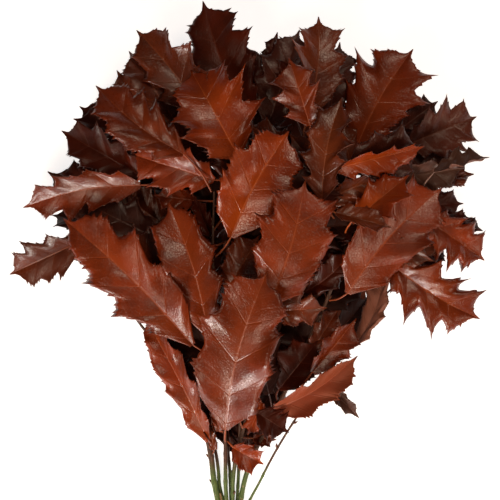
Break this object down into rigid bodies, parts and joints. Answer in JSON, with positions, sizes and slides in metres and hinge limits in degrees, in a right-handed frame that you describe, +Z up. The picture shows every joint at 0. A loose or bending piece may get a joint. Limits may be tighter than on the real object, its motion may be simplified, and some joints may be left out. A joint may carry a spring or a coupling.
{
  "type": "bunch of autumn oak branches",
  "caption": "Tied bunch of cut oak branches with glossy dark red autumn leaves, lying down with its leaves fanned out from the cut stems.",
  "frame": {"origin": "middle of the underside of the whole bunch's box, on the surface it lies on", "axes": "+Y from the cut ends of the stems to the top of the leaves, +Z up from the surface, towards the side that shows"},
  "size_m": [0.58, 0.6638, 0.1541],
  "materials": {
    "leaf_russet": "smooth leaf, satin to glossy, red-brown",
    "leaf_orange": "smooth leaf, satin, brighter orange-red",
    "leaf_brown": "smooth leaf, glossy, brown",
    "leaf_dark": "smooth leaf, satin, very dark red",
    "leaf_plum": "smooth leaf, satin with a grey bloom, plum",
    "leaf_grey": "underside of a leaf, matte, grey-brown",
    "stem_green": "smooth young bark, satin, olive green",
    "stem_brown": "young bark, matte, brown",
    "binding": "natural twine, matte"
  },
  "bodies": {
    "root": {"binding": "binding", "stem_1": "stem_brown", "stem_2": "stem_green", "stem_3": "stem_green", "stem_4": "stem_green", "stem_5": "stem_green", "stem_6": "stem_green", "stem_7": "stem_brown", "stem_8": "stem_brown", "leaf_under_1": "leaf_dark", "leaf_under_2": "leaf_brown", "leaf_under_3": "leaf_dark", "leaf_under_4": "leaf_plum", "leaf_under_5": "leaf_dark", "leaf_under_6": "leaf_brown", "leaf_under_7": "leaf_dark", "leaf_top_1": "leaf_dark", "leaf_top_2": "leaf_brown", "leaf_top_3": "leaf_brown", "leaf_top_4": "leaf_plum", "leaf_top_5": "leaf_brown", "leaf_top_6": "leaf_dark", "leaf_top_7": "leaf_russet", "leaf_left_1": "leaf_dark", "leaf_left_2": "leaf_dark", "leaf_left_3": "leaf_brown", "leaf_left_4": "leaf_plum", "leaf_right_4": "leaf_brown", "leaf_right_5": "leaf_grey", "leaf_right_1": "leaf_plum", "leaf_right_2": "leaf_grey", "leaf_right_3": "leaf_dark", "leaf_right_6": "leaf_russet", "leaf_right_7": "leaf_orange", "leaf_front_2": "leaf_russet", "leaf_left_5": "leaf_russet", "leaf_left_6": "leaf_brown", "leaf_left_7": "leaf_russet", "leaf_top_8": "leaf_russet", "leaf_right_8": "leaf_plum", "leaf_right_9": "leaf_orange", "leaf_low_1": "leaf_brown", "leaf_low_2": "leaf_dark", "leaf_low_3": "leaf_grey", "leaf_low_4": "leaf_russet", "leaf_low_5": "leaf_russet", "leaf_low_6": "leaf_dark", "leaf_low_7": "leaf_russet", "leaf_front_1": "leaf_russet", "leaf_right_10": "leaf_orange", "leaf_right_11": "leaf_brown", "leaf_front_3": "leaf_brown", "leaf_front_4": "leaf_russet", "leaf_front_5": "leaf_orange", "leaf_low_8": "leaf_brown", "leaf_front_6": "leaf_russet", "leaf_front_7": "leaf_russet", "leaf_front_8": "leaf_orange", "leaf_front_9": "leaf_russet", "leaf_low_9": "leaf_orange"}
  },
  "joints": []
}
